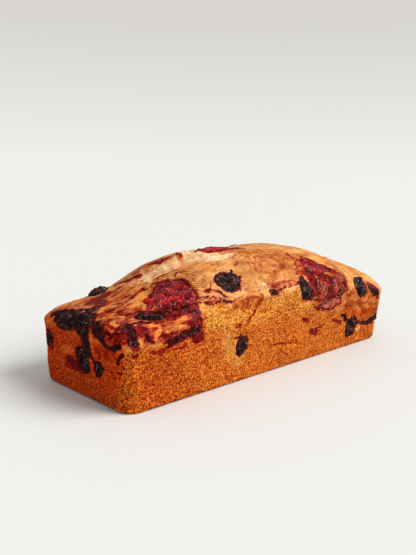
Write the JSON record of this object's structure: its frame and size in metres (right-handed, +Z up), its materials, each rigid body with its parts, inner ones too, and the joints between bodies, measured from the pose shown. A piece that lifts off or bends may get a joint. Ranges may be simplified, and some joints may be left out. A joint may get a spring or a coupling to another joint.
{
  "type": "berry loaf cake",
  "caption": "Uncut loaf-shaped cake with a domed, torn top and sunken berry pieces in its golden crust.",
  "frame": {"origin": "middle of the flat underside that the loaf stands on", "axes": "+X along the loaf, +Z up, -Y out of the long side with the open-topped fruit"},
  "size_m": [0.2494, 0.0925, 0.0781],
  "materials": {
    "crust": "matte",
    "blueberry": "satin",
    "strawberry": "satin"
  },
  "bodies": {
    "root": {"loaf": "crust", "blueberry_top_front": "blueberry", "blueberry_shoulder": "blueberry", "blueberry_right_rim": "blueberry", "blueberry_front_wall": "blueberry", "blueberry_low_right": "blueberry", "blueberry_right_corner": "blueberry", "blueberry_ridge": "blueberry", "blueberry_end_big": "blueberry", "blueberry_end_left": "blueberry", "blueberry_end_top": "blueberry", "blueberry_end_low": "blueberry", "blueberry_end_small": "blueberry", "blueberry_end_back": "blueberry", "blueberry_front_flat": "blueberry", "blueberry_back_top": "blueberry", "blueberry_back_rim": "blueberry", "blueberry_back_right": "blueberry", "blueberry_back_wall": "blueberry", "blueberry_back_low": "blueberry", "blueberry_right_end": "blueberry", "blueberry_right_end_low": "blueberry", "strawberry_front": "strawberry", "strawberry_shoulder_top": "strawberry", "strawberry_shoulder_mid": "strawberry", "strawberry_shoulder_right": "strawberry", "strawberry_shoulder_low": "strawberry", "strawberry_tear_left": "strawberry", "strawberry_tear_right": "strawberry", "strawberry_back": "strawberry", "strawberry_back_rim": "strawberry", "strawberry_right_end": "strawberry"}
  },
  "joints": []
}
